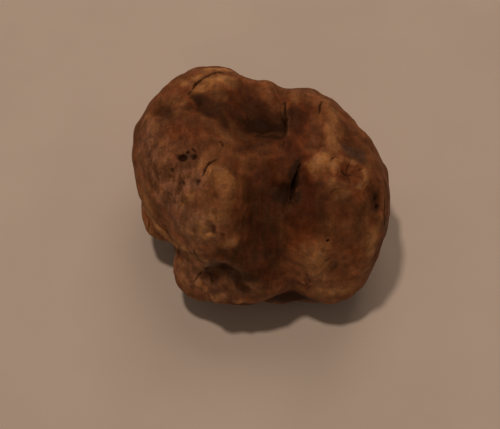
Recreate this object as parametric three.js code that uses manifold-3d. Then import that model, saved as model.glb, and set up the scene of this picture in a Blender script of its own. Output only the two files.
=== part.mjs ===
// A whole white truffle (Tuber magnatum), lying on its broad underside.
// Millimetres, +Z up. The origin is on the surface it lies on, under the middle of its bounding box.
// The fruit body grew as several lobes that fused, so its skin is the smooth union of a few ellipsoids,
// found along rays from the heart. Furrows, ridges, hollows and knobs are then added to it.

import * as THREE from 'three';
import { ImprovedNoise } from 'three/addons/math/ImprovedNoise.js';
import { mergeVertices } from 'three/addons/utils/BufferGeometryUtils.js';
import Module from 'manifold-3d';

// ---------------------------------------------------------------- driving dimensions

const WIDTH = 60; // side to side, along X
const DETAIL = 20; // splits of each edge of the icosahedron that the rays go through
const HEART = new THREE.Vector3( 0, 0, 20 ); // where the rays start
const REACH = 45; // further from the heart than any skin
const FUSE = 1; // how softly the lobes run into each other
const REST_CUT = 1.4; // how much of the underside is flattened where it rests

// Each lobe is an ellipsoid: its centre and its three radii.
const LOBES = [
	{ name: 'core', centre: [ 1.3, - 1.1, 20.5 ], radii: [ 24, 22, 18 ] },
	{ name: 'upper left', centre: [ - 13.8, 4.5, 24.5 ], radii: [ 15.7, 17.6, 15 ] },
	{ name: 'back left', centre: [ - 11, 14.7, 22.5 ], radii: [ 12.6, 12.6, 14 ] },
	{ name: 'back middle', centre: [ 0.3, 13.7, 22 ], radii: [ 10.4, 9.2, 13 ] },
	{ name: 'left shoulder', centre: [ - 9.7, - 9.1, 25.5 ], radii: [ 11.2, 12.2, 14 ] },
	{ name: 'right', centre: [ 14.8, - 5.3, 24 ], radii: [ 15.6, 19, 16 ] },
	{ name: 'front right', centre: [ 16.2, - 14.6, 15 ], radii: [ 11.6, 12.5, 13.4 ] },
	{ name: 'back right', centre: [ 9.6, 9.3, 22.8 ], radii: [ 13.2, 11.8, 14.2 ] },
	{ name: 'front left', centre: [ - 3, - 19.7, 16.9 ], radii: [ 11.8, 9.2, 10.5 ] },
	{ name: 'front tier', centre: [ - 12.8, - 18.9, 12.7 ], radii: [ 7.2, 7.4, 8.4 ] },
	{ name: 'front foot', centre: [ 7, - 17.3, 7 ], radii: [ 11, 8.8, 5.8 ] },
	{ name: 'side tier', centre: [ - 22.9, - 5.2, 14.9 ], radii: [ 5.3, 7.6, 4.6 ] },
	{ name: 'low tier', centre: [ - 14.5, - 10.5, 8.5 ], radii: [ 5.2, 7.2, 5 ] },
	{ name: 'underside', centre: [ 0.8, - 1.1, 13 ], radii: [ 20.5, 19.5, 13 ] },
];

// A fold runs along a smooth path through the points given, which are moved onto the skin.
// It is a furrow where its height is below 0, and a ridge where it is above.
const FOLDS = [
	{
		name: 'saddle',
		path: [ [ 0, 4, 37 ], [ 0, - 6, 37 ], [ 0.5, - 14, 32 ], [ 1.6, - 19, 27 ] ],
		width: 4,
		height: - 2.3,
	},
	{
		name: 'saddle wall',
		path: [ [ - 1.8, - 3, 37 ], [ - 2.2, - 10, 35 ], [ - 2, - 16, 31 ], [ - 1, - 21, 25 ] ],
		width: 2,
		height: - 2.1,
	},
	{
		name: 'slit',
		path: [ [ 9.7, - 4.6, 39 ], [ 8.9, - 8, 37 ], [ 7.8, - 13.5, 36 ] ],
		width: 1.6,
		height: - 3.2,
	},
	{
		name: 'shoulder crack',
		path: [ [ - 12.9, - 8, 40 ], [ - 12.2, - 5.6, 40 ], [ - 10.8, - 4, 39 ], [ - 8.8, - 3.5, 39 ] ],
		width: 1.1,
		height: - 0.9,
	},
	{
		name: 'shoulder crest',
		path: [ [ - 9.5, - 6, 40 ], [ - 8, - 10, 40 ], [ - 7.4, - 14, 38 ], [ - 6.8, - 18, 34 ] ],
		width: 2.8,
		height: 1.2,
	},
	{
		name: 'top ridge',
		path: [ [ - 17, 8, 39 ], [ - 12, 5, 39 ], [ - 7.7, 2.2, 38 ], [ - 3.6, 0.3, 37 ], [ 2, 0.5, 37 ] ],
		width: 2.2,
		height: 0.9,
	},
	{
		name: 'top left crack',
		path: [ [ - 16.2, 13.5, 38 ], [ - 14.7, 16, 37 ], [ - 12.2, 18.5, 36 ], [ - 7.7, 21.5, 33 ] ],
		width: 1.1,
		height: - 0.7,
	},
	{
		name: 'ledge foot',
		path: [ [ 5, 17.5, 33 ], [ 4.8, 12, 36 ], [ 4.6, 7, 37 ] ],
		width: 1.4,
		height: - 1.8,
	},
	{
		name: 'ledge',
		path: [ [ 7.6, 17, 34 ], [ 7.4, 11, 37 ], [ 7.2, 4.5, 38 ] ],
		width: 2,
		height: 0.9,
	},
	{
		name: 'right crest',
		path: [ [ 10, - 9.5, 39 ], [ 12, - 4, 40 ], [ 14, 1.2, 39 ], [ 15.4, 7.8, 37 ], [ 14, 14, 35 ] ],
		width: 2.8,
		height: 1.1,
	},
	{
		name: 'front right crest',
		path: [ [ 8.6, - 17, 34 ], [ 10.4, - 22.5, 28 ], [ 12, - 25, 22 ], [ 13.2, - 26, 15 ] ],
		width: 3,
		height: 0.8,
	},
	{
		name: 'shelf',
		path: [ [ - 27.5, - 4.5, 22 ], [ - 23, - 10.5, 22 ], [ - 17.5, - 17, 25 ], [ - 11.5, - 20.5, 25 ] ],
		width: 1.9,
		height: 0.8,
	},
	{
		name: 'under the shelf',
		path: [ [ - 28, - 5, 18 ], [ - 24, - 10, 17 ], [ - 18.8, - 17.3, 20 ], [ - 14, - 21, 19 ] ],
		width: 1.6,
		height: - 1.6,
	},
	{
		name: 'front crescent',
		path: [
			[ - 13, - 23.6, 17.2 ], [ - 11, - 22.8, 19.4 ], [ - 8.2, - 22.8, 21.4 ],
			[ - 5.4, - 25, 22.6 ], [ - 3.6, - 26.5, 19 ],
		],
		width: 2.2,
		height: - 2.8,
	},
	{
		name: 'back cleft',
		path: [ [ - 4, 24, 29 ], [ - 4.5, 25, 23 ], [ - 5, 24, 15 ], [ - 3, 20, 8 ] ],
		width: 2,
		height: - 1.6,
	},
	{
		name: 'right side fold',
		path: [ [ 24, 14, 26 ], [ 29, 5, 23 ], [ 29, - 4, 18 ], [ 26, - 12, 12 ] ],
		width: 1.9,
		height: - 1.3,
	},
	{
		name: 'left side fold',
		path: [ [ - 20, 19, 14 ], [ - 26, 11, 13 ], [ - 27, 3, 11 ], [ - 22, - 3, 7 ] ],
		width: 1.9,
		height: - 1.3,
	},
	{
		name: 'base fold',
		path: [ [ - 14, - 12, 3 ], [ - 12, - 2, 1 ], [ - 11, 8, 2 ], [ - 2, 14, 3 ], [ 8, 15, 5 ] ],
		width: 2,
		height: - 1.5,
	},
];

// A spot is a round hollow (height below 0) or knob (height above 0), moved onto the skin.
const SPOTS = [
	{ name: 'top pit', at: [ - 1.5, 8, 36 ], radius: 4.4, height: - 3 },
	{ name: 'top pit, deep side', at: [ 2.2, 8.6, 36 ], radius: 2.9, height: - 2.2 },
	{ name: 'lump behind the pit', at: [ 1, 17.5, 33 ], radius: 3, height: 0.9 },
	{ name: 'slit side', at: [ 5.2, - 9.8, 35 ], radius: 2.2, height: - 1.2 },
	{ name: 'front hollow', at: [ - 8.6, - 22.2, 22.8 ], radius: 3, height: - 1.4 },
	{ name: 'front knob', at: [ - 8.4, - 25.9, 18.6 ], radius: 2.6, height: 1.5 },
	{ name: 'left lip', at: [ - 10.4, - 27.2, 14 ], radius: 2.6, height: 0.8 },
	{ name: 'right lip', at: [ - 4.4, - 27.4, 13 ], radius: 2.4, height: 0.6 },
	{ name: 'left eye', at: [ - 16.8, - 2.4, 38 ], radius: 1.5, height: - 1.2 },
	{ name: 'left eye, inner', at: [ - 14.6, - 1.6, 38 ], radius: 1.3, height: - 0.9 },
	{ name: 'top left dent', at: [ - 12.8, 10.8, 38 ], radius: 3, height: - 1.3 },
	{ name: 'far left dent', at: [ - 22.4, 10, 36 ], radius: 2.8, height: - 1 },
	{ name: 'left swell', at: [ - 23, 1, 36 ], radius: 4, height: 0.7 },
	{ name: 'right dimple', at: [ 19.6, - 5.6, 38 ], radius: 2.8, height: - 0.9 },
	{ name: 'right dent', at: [ 24.8, - 11.2, 33 ], radius: 2, height: - 1.1 },
	{ name: 'right back dent', at: [ 22.6, 0.5, 36 ], radius: 3.4, height: - 1.1 },
	{ name: 'front right dent', at: [ 17.6, - 23.4, 23.6 ], radius: 4.2, height: - 1.4 },
	{ name: 'front right rim', at: [ 24, - 20.8, 24 ], radius: 3, height: 0.7 },
	{ name: 'back left knob', at: [ - 14, 26, 24 ], radius: 3.6, height: 1 },
	{ name: 'back middle dent', at: [ 5, 23, 20 ], radius: 3.4, height: - 1.2 },
	{ name: 'back right knob', at: [ 16, 17, 20 ], radius: 4, height: 1.1 },
	{ name: 'right side dent', at: [ 29, 3, 30 ], radius: 2.8, height: - 1 },
	{ name: 'left side knob', at: [ - 29, 8, 22 ], radius: 3.4, height: 0.8 },
];

// Low uneven relief over the whole skin: wavelength and height of each layer of noise.
const RELIEF = [
	{ wave: 11, height: 0.9 },
	{ wave: 5, height: 0.55 },
];

// ---------------------------------------------------------------- the skin

// Roughly the distance from a point to one lobe's surface, below 0 inside.
function lobeDistance( lobe, point ) {

	const [ x, y, z ] = lobe.centre.map( ( c, i ) => ( point.getComponent( i ) - c ) / lobe.radii[ i ] );
	return ( Math.hypot( x, y, z ) - 1 ) * Math.min( ...lobe.radii );

}

// The same for all the lobes, fused: the smooth least of their distances.
function bodyDistance( point ) {

	const sum = LOBES.reduce( ( s, lobe ) => s + Math.exp( - lobeDistance( lobe, point ) / FUSE ), 0 );
	return - FUSE * Math.log( sum );

}

const alongRay = ( direction, r ) => HEART.clone().addScaledVector( direction, r );

// The distance from the heart to the fused lobes' skin, in one direction: a walk inwards, then bisection.
function skinRadius( direction ) {

	const step = 0.5, halvings = 12;
	let outer = REACH;
	while ( outer > step && bodyDistance( alongRay( direction, outer - step ) ) > 0 ) outer -= step;
	let inner = outer - step;
	for ( let i = 0; i < halvings; i ++ ) {

		const middle = ( inner + outer ) / 2;
		if ( bodyDistance( alongRay( direction, middle ) ) > 0 ) outer = middle;
		else inner = middle;

	}

	return inner;

}

// A point given as [ x, y, z ], moved along its ray onto the skin.
function onSkin( xyz ) {

	const direction = new THREE.Vector3( ...xyz ).sub( HEART ).normalize();
	return alongRay( direction, skinRadius( direction ) );

}

// ---------------------------------------------------------------- relief

const bell = ( distance, width ) => Math.exp( - ( ( distance / width ) ** 2 ) );

const folds = FOLDS.map( ( fold ) => {

	const steps = 32;
	const curve = new THREE.CatmullRomCurve3( fold.path.map( onSkin ) );
	return { ...fold, points: curve.getSpacedPoints( steps ) };

} );

const spots = SPOTS.map( ( s ) => ( { ...s, centre: onSkin( s.at ) } ) );

// A fold is strongest at its middle and runs out at both ends.
function foldHeight( fold, point ) {

	const last = fold.points.length - 1;
	let nearest = Infinity;
	let share = 0;
	fold.points.forEach( ( p, i ) => {

		const distance = p.distanceTo( point );
		if ( distance >= nearest ) return;
		nearest = distance;
		share = i / last;

	} );
	const fade = Math.sin( Math.PI * ( 0.12 + 0.76 * share ) );
	return fold.height * fade * bell( nearest, fold.width );

}

const noise = new ImprovedNoise();

function reliefHeight( point ) {

	let height = 0;
	for ( const fold of folds ) height += foldHeight( fold, point );
	for ( const spot of spots ) height += spot.height * bell( spot.centre.distanceTo( point ), spot.radius );
	for ( const { wave, height: size } of RELIEF )
		height += size * noise.noise( point.x / wave + wave, point.y / wave, point.z / wave );
	return height;

}

function truffleGeometry() {

	const sphere = new THREE.IcosahedronGeometry( 1, DETAIL - 1 );
	sphere.deleteAttribute( 'normal' );
	sphere.deleteAttribute( 'uv' );
	const geometry = mergeVertices( sphere, 1e-5 );
	const position = geometry.getAttribute( 'position' );
	for ( let i = 0; i < position.count; i ++ ) {

		const direction = new THREE.Vector3().fromBufferAttribute( position, i ).normalize();
		const radius = skinRadius( direction );
		const height = reliefHeight( alongRay( direction, radius ) );
		position.setXYZ( i, ...alongRay( direction, radius + height ) );

	}

	return geometry;

}

// ---------------------------------------------------------------- the flat spot it rests on

const wasm = await Module();
wasm.setup();

function solidOf( geometry ) {

	return new wasm.Manifold( new wasm.Mesh( {
		numProp: 3,
		vertProperties: geometry.getAttribute( 'position' ).array,
		triVerts: new Uint32Array( geometry.index.array ),
	} ) );

}

function geometryOf( solid ) {

	const { vertProperties, triVerts } = solid.getMesh();
	const geometry = new THREE.BufferGeometry();
	geometry.setAttribute( 'position', new THREE.BufferAttribute( vertProperties, 3 ) );
	geometry.setIndex( new THREE.BufferAttribute( triVerts, 1 ) );
	geometry.computeVertexNormals();
	return geometry;

}

// Moves the body over the origin, scales it to WIDTH, and cuts REST_CUT off its lowest point.
function seated( geometry ) {

	geometry.computeBoundingBox();
	const box = geometry.boundingBox;
	const scale = WIDTH / ( box.max.x - box.min.x );
	const middle = box.getCenter( new THREE.Vector3() );
	geometry.translate( - middle.x, - middle.y, - box.min.z );
	geometry.scale( scale, scale, scale );
	geometry.translate( 0, 0, - REST_CUT );
	const side = 2 * WIDTH;
	const ground = new THREE.BoxGeometry( side, side, side ).translate( 0, 0, - side / 2 );
	ground.deleteAttribute( 'normal' );
	ground.deleteAttribute( 'uv' );
	return geometryOf( solidOf( geometry ).subtract( solidOf( mergeVertices( ground ) ) ) );

}

// ---------------------------------------------------------------- the part

const skin = new THREE.MeshStandardMaterial( { color: 0x7e5b3f, roughness: 0.85, metalness: 0 } );
const truffle = new THREE.Mesh( seated( truffleGeometry() ), skin );
truffle.name = 'truffle';

const part = new THREE.Group();
part.add( truffle );

export default part;
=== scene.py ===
"""The looks of a white truffle: a fine skin with its marks and colours, a floor and lights.

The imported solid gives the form. Its mesh is copied, made fine, and pressed into the detail of the skin:
cracks, a slit, pits, flakes, wrinkles and pores. Marks seen in the photograph are placed by their pixels,
sent from the camera onto the skin. The sides that it doesn't show get random marks of the same kinds.
Patches and cracks become layers on the vertices, which the material reads and breaks up.
"""

import itertools
import math

import bmesh
import bpy
import numpy as np
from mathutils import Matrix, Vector
from mathutils.bvhtree import BVHTree


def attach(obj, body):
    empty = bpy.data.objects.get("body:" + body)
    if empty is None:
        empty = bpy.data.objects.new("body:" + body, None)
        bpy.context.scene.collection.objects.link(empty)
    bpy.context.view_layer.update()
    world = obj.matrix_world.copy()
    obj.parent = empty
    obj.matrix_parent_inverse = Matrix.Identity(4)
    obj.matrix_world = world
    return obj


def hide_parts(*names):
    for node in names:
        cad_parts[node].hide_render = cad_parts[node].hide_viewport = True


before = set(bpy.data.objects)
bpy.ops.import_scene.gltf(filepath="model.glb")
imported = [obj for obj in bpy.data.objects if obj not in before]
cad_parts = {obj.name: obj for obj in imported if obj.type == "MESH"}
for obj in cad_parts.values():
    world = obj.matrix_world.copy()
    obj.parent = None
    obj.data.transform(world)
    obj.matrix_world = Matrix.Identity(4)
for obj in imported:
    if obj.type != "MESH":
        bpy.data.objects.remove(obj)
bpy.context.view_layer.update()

MM = 0.001

# ---- the camera

IMAGE_WIDTH, IMAGE_HEIGHT = 500, 429  # pixels
LOOK_DOWN = math.radians(65)
DISTANCE = 330 * MM  # from the camera to the plane through AIM
PIXELS_PER_METRE = 4290  # in that plane
AIM = Vector((0, 0, 21 * MM))  # a point inside the truffle, and the pixel where it is seen
AIM_PIXEL = (260.3, 179.6)
SENSOR = 36  # mm

RIGHT = Vector((1, 0, 0))
UP = Vector((0, math.sin(LOOK_DOWN), math.cos(LOOK_DOWN)))
BACK = Vector((0, -math.cos(LOOK_DOWN), math.sin(LOOK_DOWN)))


def picture_point(pixel):
    """The point of the plane through AIM that is seen at a pixel."""
    right = (pixel[0] - AIM_PIXEL[0]) / PIXELS_PER_METRE
    up = (AIM_PIXEL[1] - pixel[1]) / PIXELS_PER_METRE
    return AIM + RIGHT * right + UP * up


CAMERA_PLACE = picture_point((IMAGE_WIDTH / 2, IMAGE_HEIGHT / 2)) + BACK * DISTANCE


def added(name, data):
    made = bpy.data.objects.new(name, data)
    bpy.context.scene.collection.objects.link(made)
    return made


def make_camera():
    data = bpy.data.cameras.new("camera")
    data.sensor_width = SENSOR
    data.lens = SENSOR * DISTANCE * PIXELS_PER_METRE / IMAGE_WIDTH
    data.clip_start = 10 * MM
    camera = added("camera", data)
    camera.location = CAMERA_PLACE
    camera.rotation_euler = (math.pi / 2 - LOOK_DOWN, 0, 0)
    bpy.context.scene.camera = camera


# ---- the fine mesh

SKIN_CELL = 0.585 * MM  # a face's side, which is halved where the camera sees it
SEEN_FROM = 0.06  # the least that a seen face turns to the camera, from 0 to 1
SAME_PLACE = 0.001 * MM  # vertices closer than this are one
FLOOR_TOUCH = 0.02 * MM  # lower than this is the flat spot


def fine_copy(node):
    """A copy of a CAD node's mesh with small even faces, as a new object."""
    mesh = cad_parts[node].data.copy()
    form = bmesh.new()
    form.from_mesh(mesh)
    bmesh.ops.remove_doubles(form, verts=form.verts, dist=SAME_PLACE)
    form.to_mesh(mesh)
    form.free()
    rough = added("rough_skin", mesh)
    rounding = rough.modifiers.new("rounding", "SUBSURF")
    rounding.levels = rounding.render_levels = 2
    even = rough.modifiers.new("even", "REMESH")
    even.mode = "VOXEL"
    even.voxel_size = SKIN_CELL
    skin = as_object(rough, "even_skin")
    halve_seen_faces(skin.data)
    smooth = skin.modifiers.new("smooth", "SMOOTH")
    smooth.factor = 0.5
    smooth.iterations = 6
    return as_object(skin, "truffle_skin")


def as_object(source, name):
    """A new object with the mesh that the source's modifiers make. The source goes."""
    depsgraph = bpy.context.evaluated_depsgraph_get()
    mesh = bpy.data.meshes.new_from_object(source.evaluated_get(depsgraph))
    bpy.data.objects.remove(source)
    mesh.materials.clear()
    mesh.name = name
    return added(name, mesh)


def halve_seen_faces(mesh):
    """Cuts each face that the camera sees into four."""
    form = bmesh.new()
    form.from_mesh(mesh)
    seen = [vertex.normal.dot(BACK) > SEEN_FROM for vertex in form.verts]
    edges = [edge for edge in form.edges if seen[edge.verts[0].index] and seen[edge.verts[1].index]]
    bmesh.ops.subdivide_edges(form, edges=edges, cuts=1, use_grid_fill=True)
    odd = [face for face in form.faces if len(face.verts) > 4]
    bmesh.ops.triangulate(form, faces=odd)
    form.to_mesh(mesh)
    form.free()


def rows(items, name, width=3, kind=float):
    """What each of a mesh's vertices or edges holds under a name, as a row of numbers."""
    values = np.empty(len(items) * width, kind)
    items.foreach_get(name, values)
    return values.reshape(-1, width)


def smoothed(values, ends, rounds):
    """Values of the vertices, each moved halfway to its neighbours' mean, time after time."""
    count = len(values)
    neighbours = np.bincount(ends.ravel(), minlength=count)
    for _ in range(rounds):
        columns = []
        for column in values.T:
            total = np.bincount(ends[:, 0], column[ends[:, 1]], count)
            total += np.bincount(ends[:, 1], column[ends[:, 0]], count)
            columns.append((column + total / neighbours) / 2)
        values = np.stack(columns, axis=1)
    return values


# ---- random fields

NOISE_TABLE = 256  # slopes before they repeat
NOISE_GAIN = 1.7  # brings the noise to about -1 to 1
CELL_TABLE = 64  # cells along an axis before they repeat


def noise_field(points, wave, seed):
    """Smooth random values, mostly from -1 to 1, with lumps about a wave apart, in millimetres."""
    draw = np.random.default_rng(seed)
    shuffle = draw.permutation(NOISE_TABLE)
    slopes = draw.normal(size=(NOISE_TABLE, 3))
    slopes /= np.linalg.norm(slopes, axis=1)[:, None]
    place = points / (wave * MM)
    cell = np.floor(place).astype(int)
    inside = place - cell
    ease = inside**3 * (inside * (inside * 6 - 15) + 10)
    total = np.zeros(len(points))
    for corner in itertools.product((0, 1), repeat=3):
        x, y, z = ((cell + corner) % NOISE_TABLE).T
        column = shuffle[(shuffle[x] + y) % NOISE_TABLE]
        slope = slopes[shuffle[(column + z) % NOISE_TABLE]]
        share = np.prod(np.where(corner, ease, 1 - ease), axis=1)
        total += share * ((inside - corner) * slope).sum(axis=1)
    return total * NOISE_GAIN


def cell_field(points, size, seed):
    """How far the nearest and second nearest of scattered seeds are, in sizes, and the nearest's lot."""
    draw = np.random.default_rng(seed)
    seeds = draw.random((CELL_TABLE, CELL_TABLE, CELL_TABLE, 4))  # a place in the cell, and a lot
    place = points / (size * MM)
    cell = np.floor(place).astype(int)
    nearest = np.full(len(points), np.inf)
    second = np.full(len(points), np.inf)
    lot = np.zeros(len(points))
    for step in itertools.product((-1, 0, 1), repeat=3):
        there = cell + step
        drawn = seeds[tuple((there % CELL_TABLE).T)]
        gap = np.linalg.norm(there + drawn[:, :3] - place, axis=1)
        closer = gap < nearest
        second = np.where(closer, nearest, np.minimum(second, gap))
        lot = np.where(closer, drawn[:, 3], lot)
        nearest = np.where(closer, gap, nearest)
    return nearest, second, lot


def warped(points, amount, wave, seed):
    """The points moved about at random, so that marks measured from them get natural edges."""
    shift = [noise_field(points, wave, seed + axis) for axis in range(3)]
    return points + amount * MM * np.stack(shift, axis=1)


def smoothstep(low, high, value):
    share = np.clip((value - low) / (high - low), 0, 1)
    return share * share * (3 - 2 * share)


# ---- marks seen in the photograph
# Each is a name, a radius, a height, depth or strength, and the pixels of the line or spot it follows.
# Lengths are in millimetres. A height below 0 is a hollow. A strength is at most 1.

SWELLS = [
    ("upper left rim", 3, 0.75, (138, 124), (148, 107), (160, 92), (174, 80)),
    ("left rim, middle", 2.4, -0.7, (134, 150), (134, 162)),
    ("left rim, low", 2.2, 0.4, (136, 177), (139, 190)),
    ("right rim, high", 2.2, -0.4, (383, 158), (387, 172)),
    ("back right rim", 2.6, -0.4, (322, 92), (336, 103)),
    ("pit floor", 3, -0.7, (252, 122), (263, 126), (275, 128)),
    ("pit corner", 1.2, -1.2, (280, 122), (281, 131)),
    ("ledge rim", 0.5, 0.3, (288, 104), (288, 118), (287, 135)),
    ("pit lower rim", 2.2, 0.25, (250, 149), (265, 151), (281, 146)),
    ("lump above pit", 1.9, 0.5, (262, 90), (271, 98)),
    ("top left stain", 2.2, -0.5, (203, 106)),
    ("top left crack, lip", 1, 0.3, (200, 88), (210, 81), (226, 78)),
    ("pale ridge", 1.4, 0.25, (205, 120), (216, 130), (226, 139)),
    ("pale ridge, low", 1.6, 0.2, (230, 144), (240, 150)),
    ("reddish ridge", 0.8, 0.3, (206, 136), (214, 138), (221, 143)),
    ("far left dent", 2.2, -0.4, (163, 112)),
    ("far left knob", 1.2, 0.35, (147, 117), (156, 128)),
    ("crescent", 1.6, -0.3, (207, 275), (214, 271), (224, 270), (234, 274), (242, 282)),
    ("above crescent", 2.4, -0.3, (206, 262), (220, 258), (236, 262)),
    ("knob", 1.6, 0.5, (219, 284), (229, 284)),
    ("left lip", 1.1, 0.5, (214, 297), (221, 298)),
    ("right lip", 1.1, 0.5, (240, 300)),
    ("between lips", 1, -0.4, (230, 302)),
    ("pale knob", 1, 0.35, (199, 283)),
    ("slit hollow", 1.8, -0.8, (276, 189), (284, 192)),
    ("slit right lip", 0.9, 0.4, (304, 164), (301, 180), (297, 200)),
    ("slit left side", 1.6, -0.5, (286, 178), (285, 190), (282, 200)),
    ("shoulder crest", 1.7, 0.55, (214, 168), (224, 176), (228, 190)),
    ("shoulder, behind crack", 1.2, 0.3, (198, 163), (206, 157)),
    ("shoulder dip", 1.4, -0.3, (203, 186), (212, 200)),
    ("right crest", 2.2, 0.6, (317, 166), (324, 159), (331, 149)),
    ("puff by scab", 1, 0.45, (334, 168)),
    ("puff, upper", 0.9, 0.4, (343, 160)),
    ("puff, far", 0.8, 0.4, (355, 163)),
    ("puff, right", 1, 0.45, (364, 176)),
    ("puff, low right", 1, 0.45, (359, 187)),
    ("puff, low", 1.1, 0.45, (345, 184)),
    ("puff, low left", 0.9, 0.4, (333, 181)),
    ("puff, inner", 0.7, 0.3, (352, 170)),
    ("right crest, high", 1.5, 0.4, (333, 140), (333, 125), (331, 111)),
    ("dip by crest", 1.5, -0.45, (318, 146), (321, 133)),
    ("grey dent", 2.6, -0.45, (348, 139), (354, 149), (362, 155)),
    ("flaky dish", 2.2, -0.4, (347, 173)),
    ("right dent", 1, -0.6, (376, 198), (379, 209)),
    ("right dent rim", 0.9, 0.35, (379, 215), (371, 216)),
    ("low right dent", 2.4, -0.5, (336, 258), (341, 273)),
    ("low right ridge", 1.8, 0.4, (305, 248), (311, 264), (317, 282)),
    ("low right knob", 0.8, 0.3, (303, 282)),
    ("furrow beside it", 1, -0.15, (329, 262), (331, 282)),
    ("furrow, left", 0.8, -0.18, (307, 274), (309, 288)),
    ("shelf lip", 1, 0.5, (144, 204), (152, 217), (160, 229), (172, 241), (188, 250)),
    ("above shelf lip", 1.3, 0.35, (148, 206), (158, 218), (167, 229), (178, 241)),
    ("under shelf lip", 1.2, -0.35, (147, 221), (155, 234)),
    ("low left dent", 1.1, -0.8, (213, 230)),
    ("low left dent, right", 0.9, -0.35, (222, 236)),
    ("tan swell", 1.8, 0.45, (202, 227)),
    ("low swell", 1.8, 0.45, (232, 242)),
    ("wall of valley", 2.2, -0.25, (246, 178), (250, 200), (250, 225), (248, 246)),
    ("valley groove", 1.2, -0.25, (257, 198), (256, 225), (255, 250)),
    ("tail flap", 0.45, 0.55, (239, 77), (242, 77)),
    ("notch by flap", 0.5, -0.5, (235, 75)),
    ("foot of notch", 3.2, -0.9, (274, 305), (290, 306), (308, 305)),
    ("front tier notch", 0.8, -0.35, (178, 252), (182, 262)),
    ("front tier edge", 0.6, 0.3, (173, 258), (172, 270)),
    ("pale front ridge", 0.8, 0.35, (193, 245), (200, 254), (205, 261)),
]

# Sharp-edged hollows, with their depth: the radius is about half the width of the opening.
CRACKS = [
    ("top left crack", 0.26, 0.75,
     (193, 90), (195, 85), (199, 81), (205, 78), (212, 74), (221, 72), (229, 73), (236, 76)),
    ("top left crack, deep", 0.34, 0.6, (193, 89), (196, 84), (202, 80)),
    ("top left crack, tail", 0.26, 0.35, (188, 95), (191, 91)),
    ("ledge crack", 0.46, 1.1, (284, 120), (284, 112), (286, 103)),
    ("ledge crack, low", 0.26, 0.4, (284, 136), (286, 128), (285, 118)),
    ("back right crack", 0.2, 0.5, (319, 113), (320, 106), (322, 101)),
    ("shoulder crack", 0.24, 0.6, (203, 175), (205, 170), (208, 165), (212, 162), (217, 159)),
    ("slit", 0.3, 1.1, (300, 164), (297, 173), (295, 182), (292, 193), (289, 203)),
    ("slit, core", 0.46, 0.9, (297, 174), (295, 182), (292, 191), (290, 199)),
    ("slit foot", 0.22, 0.3, (289, 203), (293, 204)),
    ("arc crack", 0.16, 0.14, (329, 165), (331, 160), (335, 157), (339, 159)),
    ("star crack, up", 0.18, 0.25, (350, 163), (348, 168), (347, 174)),
    ("star crack, left", 0.24, 0.3, (342, 171), (346, 174), (351, 175)),
    ("star crack, right", 0.16, 0.2, (357, 172), (360, 169), (363, 168)),
    ("star crack, low", 0.16, 0.2, (347, 175), (350, 180), (349, 185)),
    ("lower flake crack", 0.16, 0.12, (341, 188), (336, 189), (330, 193)),
    ("knob crack", 0.18, 0.25, (195, 281), (198, 276), (203, 271)),
    ("ridge nick", 0.2, 0.3, (219, 142), (222, 144), (223, 147)),
    ("insect hole", 0.26, 0.5, (328, 241)),
    ("left eye", 0.66, 0.7, (181, 159), (185, 158)),
    ("left eye, upper", 0.3, 0.3, (188, 153)),
    ("left eye, inner", 0.42, 0.5, (193, 158), (195, 157)),
    ("left eye, crease", 0.22, 0.25, (192, 148), (195, 153)),
    ("right dent hole", 0.4, 0.6, (378, 207)),
    ("right dent hole, upper", 0.3, 0.2, (376, 200)),
    ("right edge crease", 0.22, 0.25, (384, 192), (385, 208), (385, 226)),
    ("tier crease", 0.22, 0.3, (147, 219), (148, 231)),
    ("speck", 0.3, 0.25, (183, 181), (184, 185)),
    ("speck, upper", 0.34, 0.2, (172, 170)),
    ("speck, right", 0.28, 0.2, (197, 181), (200, 181)),
    ("crack by ridge", 0.18, 0.25, (284, 142), (283, 150)),
    ("low right nick", 0.2, 0.2, (306, 282), (307, 286)),
    ("red front line", 0.22, 0.25, (194, 250), (196, 256)),
]

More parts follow.
